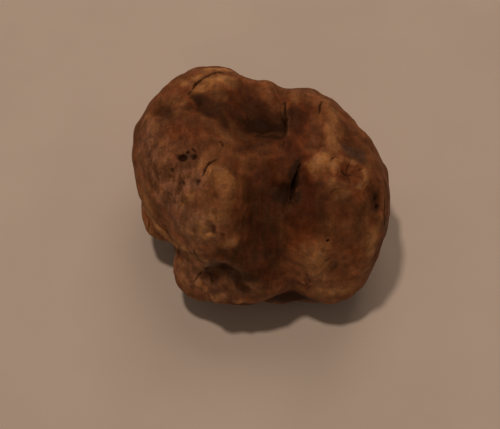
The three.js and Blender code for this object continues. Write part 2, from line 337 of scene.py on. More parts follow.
# Painted shade: soft darkening in the valley, the pit, the hollows and under the lobes, and painted shadow
# along the foot; some marks also deepen dark stains.
SHADED = [
    ("valley", 4.6, 1, (266, 185), (266, 215), (262, 248), (262, 272)),
    ("valley wall", 2.6, 0.6, (250, 182), (253, 212), (253, 245)),
    ("valley, left foot", 2.8, 0.9, (241, 252), (246, 266), (252, 276)),
    ("valley, right side", 3, 0.75, (296, 206), (290, 222)),
    ("valley, right side, low", 1.8, 0.6, (283, 222), (286, 240), (286, 258)),
    ("valley, foot", 1.6, 0.6, (273, 270), (275, 283)),
    ("saddle", 3, 0.6, (254, 168), (266, 168), (282, 168)),
    ("under pit", 2.6, 0.8, (244, 146), (258, 142), (276, 140)),
    ("by saddle", 2.6, 0.9, (286, 142), (292, 156)),
    ("right of slit", 4.2, 0.9, (303, 186), (309, 202), (314, 217)),
    ("right of upper slit", 2, 0.7, (302, 160), (305, 172)),
    ("right middle", 4, 0.6, (336, 204), (352, 210), (357, 216)),
    ("right middle, low", 3.2, 0.35, (316, 230), (334, 229), (352, 233)),
    ("by slit", 3.2, 1, (284, 176), (283, 190), (277, 200)),
    ("slit, upper", 1.8, 0.75, (297, 161), (294, 173)),
    ("slit, lower", 2.8, 0.9, (299, 186), (297, 202), (284, 205)),
    ("under slit, right", 2.4, 0.9, (292, 206), (300, 212)),
    ("left of upper slit", 2, 0.8, (281, 160), (282, 174)),
    ("right of low slit", 2.6, 0.9, (310, 188), (325, 192)),
    ("left lobe, high", 3.2, 0.55, (168, 122), (190, 120), (212, 128), (224, 128)),
    ("behind shoulder", 2.2, 0.55, (229, 161), (235, 172)),
    ("under shoulder", 2.2, 0.5, (230, 212), (238, 220)),
    ("low knob", 1.5, 0.5, (210, 287), (214, 292)),
    ("pit", 4.6, 1, (248, 120), (260, 126), (274, 130)),
    ("left of pit", 4, 1, (228, 102), (236, 112)),
    ("left of pit, low", 3.2, 0.65, (238, 126), (242, 138)),
    ("pit, high right", 1.9, 0.8, (262, 108), (270, 116), (281, 122)),
    ("ledge, top", 1.4, 0.5, (280, 92), (282, 100)),
    ("saddle, right", 2.2, 0.6, (266, 151), (284, 156)),
    ("under grey dent", 1.6, 0.5, (352, 156), (364, 161)),
    ("above grey dent", 1.6, 0.55, (343, 122), (350, 130)),
    ("outside grey dent", 1.6, 0.5, (358, 136), (371, 149)),
    ("above pit", 3.6, 0.75, (238, 88), (252, 102)),
    ("above pit, right", 1.8, 0.35, (264, 98), (272, 99)),
    ("right of ledge", 2.8, 0.85, (294, 111), (301, 117), (296, 127)),
    ("right of saddle", 2.4, 0.55, (302, 138), (312, 142)),
    ("back right", 3, 0.5, (304, 106), (313, 114), (311, 136)),
    ("right, high", 2.1, 0.5, (320, 139), (321, 151)),
    ("grey dent", 3.2, 0.55, (346, 132), (354, 147), (364, 155)),
    ("flaky", 3, 0.55, (347, 172), (352, 182)),
    ("right dent", 2.5, 0.7, (370, 189), (375, 204), (373, 213)),
    ("right dent, above", 1.4, 0.7, (379, 180)),
    ("scab, left foot", 1.4, 0.45, (328, 181), (332, 177)),
    ("right of scab", 1.4, 0.4, (368, 188)),
    ("right middle, inner", 1.5, 0.4, (338, 224), (345, 225)),
    ("shoulder crest, right", 1.1, 0.4, (225, 187), (236, 195)),
    ("right rim", 1.4, 0.5, (386, 182), (388, 205), (386, 235)),
    ("crescent", 2.2, 0.75, (217, 277), (221, 271), (230, 272), (239, 279), (245, 289)),
    ("above crescent", 2.4, 0.7, (224, 257), (240, 264), (246, 276)),
    ("below crescent", 1.4, 0.6, (228, 275), (233, 284)),
    ("knob", 1.8, 0.4, (222, 282), (230, 286)),
    ("low left dent", 1.3, 0.3, (214, 231), (222, 235)),
    ("above eye", 2.2, 0.5, (178, 140), (194, 144)),
    ("top left stain", 2.7, 0.85, (205, 101), (203, 108), (212, 114)),
    ("top left stain, left", 2, 0.8, (190, 106)),
    ("under top left stain", 2.8, 0.9, (214, 108), (224, 122)),
    ("far left stain", 2.8, 0.65, (160, 110), (168, 116)),
    ("left eye", 2.2, 0.5, (184, 160), (194, 159)),
    ("under eye", 1.8, 0.6, (184, 165), (194, 164)),
    ("right of eye", 2, 0.3, (204, 152), (214, 154)),
    # Painted shade under the shelf, and painted shadow along the foot, the notch and the front edge, where
    # the body meets its shadow.
    ("foot", 1.2, 0.6, (205, 304), (230, 304), (250, 306), (270, 302)),
    ("under shelf", 1.2, 0.45, (152, 229), (160, 238)),
    ("notch", 1.8, 0.8, (274, 299), (290, 297), (306, 301)),
    ("foot of notch", 2.2, 0.6, (272, 306), (290, 308), (312, 306)),
    ("front edge", 1.3, 0.9, (236, 304), (262, 306), (300, 306)),
]

# Pale worn skin, and painted light: lighter skin on lower and side faces that the lamps leave dim.
WORN_AND_PAINTED_LIGHT = [
    ("left rim", 2.4, 1, (136, 150), (139, 178), (146, 205)),
    ("left rim, upper", 1.4, 0.6, (148, 118), (150, 132)),
    ("shelf", 2.6, 1, (146, 206), (156, 222), (170, 237), (188, 248)),
    ("side tier", 2, 1, (144, 214), (148, 226), (156, 234)),
    ("left foot", 4.5, 0.8, (160, 202), (176, 226), (200, 240)),
    ("left, inner", 2, 0.5, (150, 186), (158, 196), (166, 204)),
    ("tan swell", 3, 0.7, (182, 228), (203, 226), (216, 220)),
    ("tan patch", 2.1, 1, (199, 218), (208, 229)),
    ("low swell", 2.2, 0.6, (226, 232), (230, 239), (240, 243)),
    ("low left", 2.8, 1, (184, 258), (198, 261), (211, 266)),
    ("by low right stain", 1.8, 0.6, (318, 226), (326, 228)),
    ("top left, left", 2, 0.85, (184, 84), (194, 80)),
    ("front tier", 2, 1, (172, 260), (178, 275), (188, 288)),
    ("foot of valley", 2.4, 1, (244, 290), (256, 288), (272, 286)),
    ("valley, right", 2.6, 0.8, (293, 254), (296, 272)),
    ("foot of low right", 2, 0.7, (296, 286), (310, 296), (334, 300)),
    ("low right", 4.2, 1, (318, 254), (322, 274)),
    ("low right, middle", 2.6, 0.5, (324, 262), (336, 262)),
    ("low right, inner", 3, 0.9, (332, 254), (344, 262), (346, 272)),
    ("low right foot", 2.6, 0.7, (306, 280), (326, 292), (350, 290)),
    ("low right, outer", 3.2, 1, (372, 224), (370, 246), (364, 264), (354, 280)),
    ("right crest", 2.7, 0.75, (318, 163), (326, 157), (330, 162)),
    ("right crest, low", 2, 0.4, (316, 176), (326, 178)),
    ("scab's rim", 1.4, 0.3, (362, 168), (368, 182), (369, 190)),
    ("scab", 2.6, 0.3, (348, 172), (352, 186)),
    ("pale knob", 1, 1, (199, 281), (202, 286)),
    ("lips", 1.2, 0.9, (214, 297), (222, 298)),
    ("lips, right", 1.2, 0.9, (238, 300), (243, 300)),
    ("right, low", 3, 0.5, (346, 230), (352, 240)),
    ("right rim, high", 1.3, 0.35, (346, 114), (358, 126)),
    ("back right rim", 1.5, 0.5, (312, 94), (332, 102)),
    ("top left", 1.3, 0.9, (205, 69), (226, 69)),
    ("top left patch", 2, 0.8, (216, 79), (229, 79), (229, 91)),
    ("back rim", 1.4, 0.5, (246, 80), (270, 84)),
    ("saddle crest", 2, 0.3, (244, 158), (258, 158)),
    ("saddle crest, foot", 1.4, 0.5, (251, 163)),
    ("left middle", 2.6, 0.4, (158, 164), (162, 190)),
    ("dip by crest", 1.8, 0.5, (206, 158), (214, 156)),
    ("under shoulder crest", 1.6, 0.5, (206, 186), (214, 188)),
]

OCHRE = [
    ("top left", 2.4, 0.85, (210, 82), (224, 80), (230, 83)),
    ("top left, left", 1.6, 0.7, (200, 90), (208, 88)),
    ("above top left crack", 1.4, 0.7, (196, 76), (212, 69), (228, 70)),
    ("left rim", 1.3, 0.65, (146, 118)),
    ("left rim, lower", 1.1, 0.65, (156, 129)),
    ("pale ridge", 0.9, 0.45, (207, 126), (216, 133), (224, 141)),
    ("between stains", 0.8, 0.8, (182, 104)),
    ("shoulder crest", 2.4, 0.75, (212, 170), (223, 175), (230, 186)),
    ("shoulder crest, low", 2, 0.5, (231, 196), (226, 206)),
    ("behind shoulder crack", 1.2, 0.6, (204, 163), (199, 169)),
    ("left middle", 1.6, 0.65, (190, 194), (182, 203)),
    ("tan swell", 1.8, 1, (201, 226), (206, 234)),
    ("above tan swell", 2, 0.6, (210, 216), (222, 217)),
    ("low swell", 1.8, 0.65, (233, 242), (225, 247)),
    ("right crest", 2.5, 0.75, (319, 165), (325, 159), (331, 163)),
    ("right crest, high", 2, 0.65, (335, 146), (334, 130), (334, 112)),
    ("right crest, top", 1.8, 0.4, (328, 104), (320, 122)),
    ("flaky rim, right", 1.1, 0.75, (365, 172), (366, 183), (360, 188)),
    ("flaky rim, left", 1.1, 0.6, (333, 179), (331, 187)),
    ("flaky rim, top", 0.8, 0.6, (341, 160), (352, 163)),
    ("flaky, below", 1.8, 0.6, (334, 193), (345, 193)),
    ("left shelf", 2.4, 0.45, (145, 190), (152, 214), (158, 222)),
    ("side tier", 1.6, 0.3, (143, 216), (150, 234)),
    ("low left", 3, 0.5, (184, 230), (194, 237)),
    ("low left, front", 2.2, 0.5, (188, 254), (204, 262)),
    ("by top left stain", 1.4, 0.8, (220, 92), (221, 100)),
    ("by top left crack", 1.8, 0.5, (186, 84)),
    ("low right", 4.2, 0.4, (308, 252), (312, 264), (322, 284)),
    ("low right, bright", 2.2, 0.3, (303, 264), (309, 257)),
    ("low right, middle", 2.2, 0.75, (318, 258), (324, 267)),
    ("low right spot", 0.8, 0.5, (302, 282)),
    ("low right foot", 2.6, 0.65, (318, 292), (334, 293), (348, 290)),
    ("by hole", 1.3, 0.35, (325, 248)),
    ("right side", 2.4, 0.65, (374, 234), (372, 250)),
    ("front lip", 1.4, 0.6, (213, 298), (226, 298)),
    ("front lip, right", 1.2, 0.4, (241, 301)),
    ("pale knob", 1.1, 0.7, (199, 283), (203, 286)),
    ("front tier edge", 0.8, 0.65, (174, 258), (172, 272)),
    ("front tier", 2.4, 0.4, (186, 266), (184, 282)),
    ("pale front ridge", 0.9, 0.6, (193, 245), (200, 254), (205, 261)),
    ("valley foot", 0.8, 0.4, (250, 292)),
    ("by ledge", 1.2, 0.6, (297, 101)),
    ("shelf lip", 1.2, 0.9, (144, 204), (152, 217), (160, 229), (172, 241), (188, 250)),
]

# Dark stains, and painted shade in the crescent hollow, by the slit, and in the notch where the body meets
# its shadow.
STAIN_AND_SHADE = [
    ("top left", 1.9, 0.75, (198, 96), (203, 107), (209, 113)),
    ("top left, left", 1.2, 0.5, (190, 108)),
    ("far left", 2, 0.5, (161, 110), (168, 116)),
    ("left of pit", 1.8, 0.25, (248, 123)),
    ("pit", 3, 1, (252, 127), (264, 129), (277, 125)),
    ("pit, low", 1.6, 0.8, (260, 135), (279, 136)),
    ("pit, high right", 1.6, 0.55, (271, 117), (280, 118)),
    ("ledge crack", 0.5, 1, (284, 119), (284, 112), (286, 104)),
    ("above pit", 2.2, 0.5, (248, 98), (258, 107)),
    ("right of ledge", 2, 0.6, (291, 110), (301, 117), (293, 122)),
    ("grey dent", 2, 0.45, (349, 147), (356, 153), (362, 158)),
    ("grey dent, upper", 1.2, 0.45, (343, 131), (348, 135)),
    ("flaky", 1.2, 0.5, (347, 174)),
    ("flaky, low", 1, 0.5, (356, 182)),
    ("valley wall", 1.6, 0.4, (250, 185), (253, 210), (254, 238)),
    ("valley, darker", 1.2, 0.5, (256, 200), (254, 220)),
    ("saddle spot", 1.4, 0.5, (252, 149)),
    ("saddle spot, low", 1.2, 0.4, (260, 172)),
    ("by slit", 2.1, 1, (278, 194), (286, 193), (284, 200)),
    ("slit", 1.4, 1, (293, 184), (290, 196)),
    ("slit, upper", 1.25, 1, (299, 163), (292, 179)),
    ("right of slit", 1.6, 0.9, (296, 197), (297, 203)),
    ("under slit", 1.3, 0.7, (286, 202), (296, 202)),
    ("right middle", 1.8, 0.35, (312, 193), (314, 208)),
    ("right middle, outer", 1.8, 0.6, (364, 204)),
    ("right dent", 1.2, 0.7, (374, 196), (378, 208)),
    ("low right", 0.9, 0.4, (332, 283)),
    ("low right spot", 1, 0.4, (352, 277)),
    # Painted shade in the crescent hollow.
    ("crescent", 1.2, 0.6, (216, 277), (219, 271), (229, 273)),
    ("crescent, left", 1, 0.85, (210, 269), (211, 280)),
    ("crescent, right", 1.5, 0.65, (237, 278), (245, 288)),
    ("left eye", 1.2, 0.7, (183, 159)),
    ("left eye, inner", 0.8, 0.8, (194, 157)),
    ("low left dent", 0.9, 0.6, (213, 230)),
    ("left middle", 1.2, 0.3, (203, 206), (192, 206)),
    ("low left", 1.2, 0.35, (208, 246)),
    ("left", 1.2, 0.4, (155, 200)),
    ("speck", 0.7, 0.5, (183, 182)),
    ("speck, upper", 0.7, 0.45, (172, 171)),
    ("speck, right", 0.8, 0.5, (198, 181)),
    ("speck, low", 0.5, 0.5, (165, 194)),
    ("shoulder spot", 1, 0.5, (222, 186)),
    ("top left spot", 0.8, 0.4, (217, 87)),
    # Painted shadow in the notch and under it, where the body meets its shadow on the floor.
    ("notch", 1.5, 0.7, (278, 298), (288, 296), (296, 299)),
    ("foot of notch", 1.8, 0.6, (274, 307), (290, 309), (308, 307)),
]

RED = [
    ("left lobe", 2.8, 0.7, (176, 130), (192, 134)),
    ("left, low", 2.4, 0.7, (166, 212), (176, 216)),
    ("by top left crack", 1.6, 0.6, (180, 88), (187, 92), (190, 101)),
    ("right, high", 1.6, 0.5, (317, 147), (323, 136)),
    ("right of slit", 3.6, 0.9, (306, 180), (304, 205), (300, 240)),
    ("right of ledge", 3.2, 1, (292, 106), (298, 114), (298, 126), (290, 146)),
    ("back right", 1.8, 0.6, (318, 110), (322, 124)),
    ("upper slit", 3, 1, (300, 160), (304, 174)),
    ("left of slit", 3.2, 0.6, (278, 150), (276, 175), (272, 195)),
    ("back", 3, 0.5, (246, 86), (240, 96)),
    ("under top left stain", 3, 0.5, (206, 118), (200, 112)),
    ("right side", 2.4, 0.6, (366, 180), (356, 196)),
    ("shoulder spot", 1.4, 0.5, (222, 188), (232, 192)),
    ("top left spot", 0.9, 0.6, (216, 87)),
    ("right, low", 2.6, 0.6, (352, 252), (360, 262)),
    ("above pit", 2.2, 0.6, (260, 86), (270, 97)),
    ("left of pit", 2.4, 0.5, (226, 100), (230, 112)),
    ("reddish ridge", 0.8, 0.6, (206, 136), (214, 138), (221, 143)),
    ("shoulder", 1.5, 0.5, (235, 165)),
    ("low left", 1.6, 0.6, (206, 247)),
    ("front tier", 2.2, 0.4, (185, 272)),
    ("scab", 2.8, 0.8, (347, 170)),
    ("grey dent, left", 1.4, 0.6, (342, 140), (345, 152)),
    ("right crest", 3.6, 0.6, (314, 170), (336, 166), (360, 182)),
    ("right crest, high", 2.8, 0.5, (330, 118), (332, 140), (328, 156)),
    ("top left", 2.6, 0.9, (214, 86), (232, 89)),
    ("shoulder crest", 2.4, 0.6, (218, 172), (228, 180), (234, 196)),
]

GREY = [
    ("left foot", 6, 0.4, (172, 210), (196, 236), (190, 270)),
    ("around knob", 4, 0.4, (212, 284), (236, 292), (252, 288)),
    ("valley, low", 3.4, 0.3, (238, 250), (262, 280)),
    ("low right", 4, 0.2, (318, 262), (330, 290)),
    ("around crescent", 3, 0.7, (212, 266), (228, 268), (240, 276)),
    ("tan swell", 2.4, 0.35, (203, 214), (208, 230)),
    # Painted shadow: the foot's lower band is greyed to merge with the shadow on the floor.
    ("foot of notch", 2.6, 0.9, (270, 306), (290, 308), (310, 306)),
    ("slit rim", 0.4, 0.6, (295, 186), (293, 199)),
    ("ledge rim", 0.5, 0.8, (287, 108), (288, 122), (286, 134)),
    ("eye ridge", 0.6, 0.8, (190, 152), (189, 160)),
    ("crescent", 0.9, 0.4, (214, 266), (226, 262)),
    ("grey dent", 2.4, 0.7, (350, 149), (361, 155)),
    ("left of pit", 2.2, 0.35, (234, 113), (244, 117)),
    ("edge", 0.5, 0.5, (387, 218), (387, 240)),
    ("shelf", 1.6, 0.3, (146, 206), (156, 222), (170, 238)),
]

SPECKLED = [
    ("left lobe", 5, 1, (148, 140), (156, 170), (172, 190), (190, 178)),
    ("left lobe, high", 3.4, 0.5, (160, 125), (190, 145)),
    ("left lobe, low", 4, 0.55, (180, 215), (206, 226)),
    ("right crest", 3, 0.35, (318, 150), (330, 130)),
    ("front tier", 3, 0.6, (188, 275), (215, 292)),
    ("low right", 3, 0.4, (312, 276), (335, 290)),
]

FLAKY = [
    ("scab", 3.2, 1, (341, 169), (352, 172), (354, 182)),
    ("scab, left", 1.6, 0.7, (333, 166), (337, 184)),
]

STREAKED = [
    ("valley", 4.4, 0.7, (262, 200), (263, 240), (264, 288)),
    ("left rim", 3.5, 0.5, (146, 140), (150, 172)),
    ("low right", 3.4, 0.35, (310, 270), (325, 285)),
]


# ---- marks on the sides that aren't seen
# Drawn at random: how many, how long the longest is, their radii, their heights, depths or strengths, and
# how much they wander. Lengths are in millimetres.

UNSEEN_SEED = 41
UNSEEN_SWELLS = (46, 9, (0.9, 2.6), (-0.9, 0.7), 0.25)
UNSEEN_CRACKS = (44, 9, (0.18, 0.34), (0.3, 0.9), 0.25)
UNSEEN_PATCHES = (8, (1.2, 3.2), (0.4, 1), 0.3)  # their counts are below
SHORTEST = 0.2  # as a share of the longest
WALK_STEP = 0.3 * MM  # between a wandering line's points

# Each layer's patches in the photograph, and how many more are drawn.
PATCHES = {
    "shaded": (SHADED, 30),
    "worn_and_painted_light": (WORN_AND_PAINTED_LIGHT, 24),
    "ochre": (OCHRE, 40),
    "stain_and_shade": (STAIN_AND_SHADE, 36),
    "red": (RED, 14),
    "grey": (GREY, 12),
    "speckled": (SPECKLED, 9),
    "flaky": (FLAKY, 3),
    "streaked": (STREAKED, 8),
}


# ---- from marks to lines on the skin

PIXEL_STEP = 1.2  # between a line's points
TIP = 0.5  # the width of a tapered line's ends, as a share of its middle's


class Marker:
    """Lays lines on the skin: the photograph's, and random ones where it isn't seen."""

    def __init__(self, skin, starts, unseen):
        self.tree = BVHTree.FromObject(skin, bpy.context.evaluated_depsgraph_get())
        self.starts = starts
        self.unseen = unseen
        self.draw = np.random.default_rng(UNSEEN_SEED)

    def seen_at(self, pixel):
        """The point of the skin seen at a pixel, or the nearest one if the pixel misses it."""
        target = picture_point(pixel)
        hit = self.tree.ray_cast(CAMERA_PLACE, (target - CAMERA_PLACE).normalized())[0]
        return hit or self.tree.find_nearest(target)[0]

    def line_of(self, pixels):
        """Points of the skin along a line of pixels."""
        stops = []
        for start, end in zip(pixels, pixels[1:]):
            steps = math.ceil(math.dist(start, end) / PIXEL_STEP)
            stops += [Vector(start).lerp(Vector(end), step / steps) for step in range(steps)]
        stops.append(Vector(pixels[-1]))
        return np.array([self.seen_at(stop) for stop in stops])

    def walk(self, start, length, wander):
        """Points of the skin along a line that wanders from a point."""
        place, normal = self.tree.find_nearest(start)[:2]
        way = Vector(self.draw.normal(size=3))
        line = [place]
        for _ in range(int(length / WALK_STEP)):
            way += Vector(self.draw.normal(size=3)) * wander
            way -= normal * way.dot(normal)
            way.normalize()
            place, normal = self.tree.find_nearest(place + way * WALK_STEP)[:2]
            line.append(place)
        return np.array(line)

    def marks(self, seen, count, longest, radii, amounts, wander):
        """Each mark as its line, its radius, its amount, and the share of it that counts at each point."""
        marks = [(self.line_of(pixels), radius * MM, amount, 1) for _, radius, amount, *pixels in seen]
        for start in self.draw.choice(self.starts, count):
            line = self.walk(Vector(start), self.draw.uniform(SHORTEST, 1) * longest * MM, wander)
            radius = self.draw.uniform(*radii) * MM
            amount = self.draw.uniform(*amounts)
            marks.append((line, radius, amount, self.unseen))
        return marks


def gaps_to(line, points, reach, tapered=False):
    """How far each point is from a line, up to a reach. A tapered line is thinner at its ends."""
    gaps = np.full(len(points), reach)
    near = np.all((points > line.min(axis=0) - reach) & (points < line.max(axis=0) + reach), axis=1)
    close = points[near]
    best = np.full(len(close), reach)
    for number, spot in enumerate(line):
        width = 1
        if tapered and len(line) > 1:
            width = TIP + (1 - TIP) * math.sin(math.pi * number / (len(line) - 1))
        best = np.minimum(best, np.linalg.norm(close - spot, axis=1) / width)
    gaps[near] = best
    return gaps


# ---- from lines to heights and layers
# Reaches, cores, edges and lips are in radii. A warp is an amount and a wave in mm, and a seed.

SWELL_WARP = (0.5, 1.8, 50)
PATCH_WARP = (0.9, 3.4, 60)
PATCH_EDGE_WARP = (0.22, 1.1, 70)
CRACK_WARP = (0.14, 0.9, 80)
SWELL_REACH, PATCH_REACH, CRACK_REACH = 3, 2, 4
PATCH_CORE, PATCH_EDGE = 0.2, 1.6
CLEFT_CORE, CLEFT_EDGE = 0.35, 1.55
# Painted shade fills a crack to its core and fades out by its edge.
CRACK_SHADE_CORE, CRACK_SHADE_EDGE = 0.2, 2.2
LIP_PLACE, LIP_WIDTH = 2.1, 0.7
LIP_HEIGHT = 0.14  # as a share of the depth
LEAST_CRACK_SHADE = 0.45  # in the shallowest cracks


def crack_height(gaps, radius, depth):
    """A cleft with steep sides and a low lip on either side."""
    cleft = 1 - smoothstep(CLEFT_CORE * radius, CLEFT_EDGE * radius, gaps)
    lip = np.exp(-(((gaps - LIP_PLACE * radius) / (LIP_WIDTH * radius)) ** 2))
    return depth * (LIP_HEIGHT * lip - cleft)


def swelled(marker, points):
    """The height of the swells and hollows at each point."""
    height = np.zeros(len(points))
    natural = warped(points, *SWELL_WARP)
    for line, radius, amount, share in marker.marks(SWELLS, *UNSEEN_SWELLS):
        gaps = gaps_to(line, natural, SWELL_REACH * radius)
        height += share * (amount * MM * np.exp(-((gaps / radius) ** 2)))
    return height


def patched(marker, points):
    """The strength of each layer at each point, by the layer's name."""
    layers = {}
    ragged = warped(warped(points, *PATCH_WARP), *PATCH_EDGE_WARP)
    for name, (seen, count) in PATCHES.items():
        layer = np.zeros(len(points))
        for line, radius, amount, share in marker.marks(seen, count, *UNSEEN_PATCHES):
            gaps = gaps_to(line, ragged, PATCH_REACH * radius)
            strength = amount * (1 - smoothstep(PATCH_CORE * radius, PATCH_EDGE * radius, gaps))
            layer = np.maximum(layer, share * strength)
        layers[name] = layer
    return layers


def cracked(marker, points, height, crack_shade):
    """The height with the cracks cut into it, and the painted shade with that of the cracks added."""
    wavy = warped(points, *CRACK_WARP)
    for line, radius, amount, share in marker.marks(CRACKS, *UNSEEN_CRACKS):
        gaps = gaps_to(line, wavy, CRACK_REACH * radius, tapered=True)
        height = height + share * crack_height(gaps, radius, amount * MM)
        filled = share * min(1, LEAST_CRACK_SHADE + amount)
        crack_shade = np.maximum(crack_shade, filled * (1 - smoothstep(CRACK_SHADE_CORE * radius, CRACK_SHADE_EDGE * radius, gaps)))
    return height, crack_shade


# ---- relief all over the skin
# Waves, cells, heights and depths are in mm. A growth is what speckled skin adds.

LOOSE_WARP = (0.7, 3, 11)
LUMP_WAVE, LUMP_HEIGHT = 6.5, 0.26
LOOSE_WAVE, LOOSE_HEIGHT = 3.3, 0.19
UNSEEN_WAVE, UNSEEN_HEIGHT = 9, 0.35
BUMP_WAVE, BUMP_HEIGHT, BUMP_GROWTH = 1.7, 0.05, 0.07
GRAIN_WAVE, GRAIN_HEIGHT, GRAIN_GROWTH = 0.95, 0.03, 0.06
STREAK_WAVE, STREAK_HEIGHT = 1.4, 0.07
GRAIN_STRETCH, STREAK_STRETCH = (1, 0.6, 0.6), (1, 0.16, 0.16)
CREASE_WAVE, CREASE_DEPTH, CREASE_SHARPNESS = 5, 0.12, 8
CREASED_WAVE, CREASED_LIMITS = 8, (0, 0.8)  # where there are creases

CELL = 1.9  # pore limits, wart limits and gap widths are shares of it
PORE_WARP = (0.3, 1, 31)
PORE_LOT, PORE_DEPTH, PORE_LIMITS = 0.34, 0.15, (0.12, 0.34)  # a cell with a lower lot has a pore
WART_LOT, WART_HEIGHT, WART_LIMITS = 0.7, 0.12, (0.1, 0.4)  # a cell with a higher lot has a wart
PLAIN_PORES = 0.25  # depth on plain skin, as a share of that on speckled skin
FLAKE_WARP = (0.8, 2, 41)
FLAKE_HEIGHT, LEVEL_LOT = 0.16, 0.4  # a flake is higher by its lot, and level with this one
GAP_WIDTH, GAP_DEPTH, GAP_LIMITS = 0.22, 0.14, (-0.3, 0.5)  # the gaps open where the lumps are high


def pores_and_warts(points, speckled):
    """The heights of both. Warts are only on speckled skin."""
    nearest, _, lot = cell_field(warped(points, *PORE_WARP), CELL, seed=8)
    dented = np.where(lot < PORE_LOT, 1, 0) * (PLAIN_PORES + (1 - PLAIN_PORES) * speckled)
    pores = -PORE_DEPTH * dented * (1 - smoothstep(*PORE_LIMITS, nearest))
    raised = WART_HEIGHT * np.where(lot > WART_LOT, 1, 0) * speckled
    return pores, raised * (1 - smoothstep(*WART_LIMITS, nearest))


def flakes_and_gaps(points, flaky, loose_lumps):
    """The height of the flakes, and how open the gaps between them are."""
    nearest, second, lot = cell_field(warped(points, *FLAKE_WARP), CELL, seed=9)
    gaps = flaky * (1 - smoothstep(0, GAP_WIDTH, second - nearest))
    gaps = gaps * smoothstep(*GAP_LIMITS, loose_lumps)
    return flaky * (FLAKE_HEIGHT * (lot - LEVEL_LOT)) - GAP_DEPTH * gaps, gaps


def general_relief(points, unseen, layers):
    """Lumps, creases, pores, flakes and grain, in metres, and the gaps between the flakes."""
    speckled = layers["speckled"]
    loose = warped(points, *LOOSE_WARP)
    loose_lumps = noise_field(loose, LOOSE_WAVE, seed=2)
    lumps = LUMP_HEIGHT * noise_field(points, LUMP_WAVE, seed=1) + LOOSE_HEIGHT * loose_lumps
    bumps = (BUMP_HEIGHT + BUMP_GROWTH * speckled) * noise_field(loose, BUMP_WAVE, seed=3)
    grain = noise_field(points * GRAIN_STRETCH, GRAIN_WAVE, seed=4)
    bumps += (GRAIN_HEIGHT + GRAIN_GROWTH * speckled) * grain
    creases = 1 - np.abs(noise_field(points, CREASE_WAVE, seed=5))
    creased = smoothstep(*CREASED_LIMITS, noise_field(points, CREASED_WAVE, seed=6))
    folds = -CREASE_DEPTH * creased * creases**CREASE_SHARPNESS
    pores, warts = pores_and_warts(points, speckled)
    flakes, gaps = flakes_and_gaps(points, layers["flaky"], loose_lumps)
    streaks = noise_field(points * STREAK_STRETCH, STREAK_WAVE, seed=10)
    streaks = layers["streaked"] * STREAK_HEIGHT * streaks
    unseen_lumps = unseen * UNSEEN_HEIGHT * noise_field(points, UNSEEN_WAVE, seed=13)
    return MM * (lumps + bumps + folds + pores + warts + flakes + streaks + unseen_lumps), gaps


# ---- the dressed skin

OUTWARD_ROUNDS = 12  # of smoothing, for the directions that relief rises in
SEEN_LIMITS = (-0.3, 0.1)  # how far skin turns to the camera, from unseen to seen
HIDDEN_BELOW, HIDDEN_ABOVE = -0.15, 1.5 * MM  # random marks start where it turns less, and higher up
FREE_ABOVE = 1.2 * MM  # the relief fades from here down to the floor
# Painted shade in the gaps between flakes.
FLAKE_GAP_SHADE = 0.35
BASINS = {"hollow": 90, "dimple": 10}  # layers of depth, by the rounds that smooth the skin around


def dress(skin):
    """Presses the marks and the relief into the skin, and stores its layers."""
    mesh = skin.data
    points = rows(mesh.vertices, "co")
    ends = rows(mesh.edges, "vertices", width=2, kind=int)
    outward = smoothed(rows(mesh.vertex_normals, "vector"), ends, OUTWARD_ROUNDS)
    outward /= np.linalg.norm(outward, axis=1)[:, None]
    facing = outward @ np.array(BACK)
    unseen = 1 - smoothstep(*SEEN_LIMITS, facing)
    hidden = points[(facing < HIDDEN_BELOW) & (points[:, 2] > HIDDEN_ABOVE)]
    marker = Marker(skin, hidden, unseen)

    height = swelled(marker, points)
    layers = patched(marker, points)
    relief, flake_gaps = general_relief(points, unseen, layers)
    # The crevice layer is painted shade in the cracks and between the flakes.
    height, layers["crevice"] = cracked(marker, points, height + relief, FLAKE_GAP_SHADE * flake_gaps)

    free = smoothstep(FLOOR_TOUCH, FREE_ABOVE, points[:, 2])
    pressed = points + outward * (height * free)[:, None]
    pressed[:, 2] = np.maximum(pressed[:, 2], 0)
    mesh.vertices.foreach_set("co", pressed.astype(np.float32).ravel())
    mesh.update()

    outward = rows(mesh.vertex_normals, "vector")
    for name, rounds in BASINS.items():
        layers[name] = ((smoothed(pressed, ends, rounds) - pressed) * outward).sum(axis=1) / MM
    for name, values in layers.items():
        layer = mesh.attributes.new(name, "FLOAT", "POINT")
        layer.data.foreach_set("value", values.astype(np.float32))
    mesh.polygons.foreach_set("use_smooth", [True] * len(mesh.polygons))


# ---- colours and noises

OCHRE_SKIN = (0.42, 0.195, 0.064, 1)
TAN_SKIN = (0.35, 0.18, 0.085, 1)
BROWN_SKIN = (0.215, 0.09, 0.034, 1)
RED_SKIN = (0.25, 0.09, 0.034, 1)
DEEP_RED_SKIN = (0.245, 0.072, 0.022, 1)
MAUVE_SKIN = (0.3, 0.145, 0.08, 1)
UMBER_SKIN = (0.08, 0.029, 0.009, 1)
BLACK_SKIN = (0.032, 0.011, 0.0025, 1)
GREY_SKIN = (0.17, 0.104, 0.073, 1)
PAPER = (0.8, 0.77, 0.74, 1)
PAPER_SHADE = (0.76, 0.73, 0.7, 1)

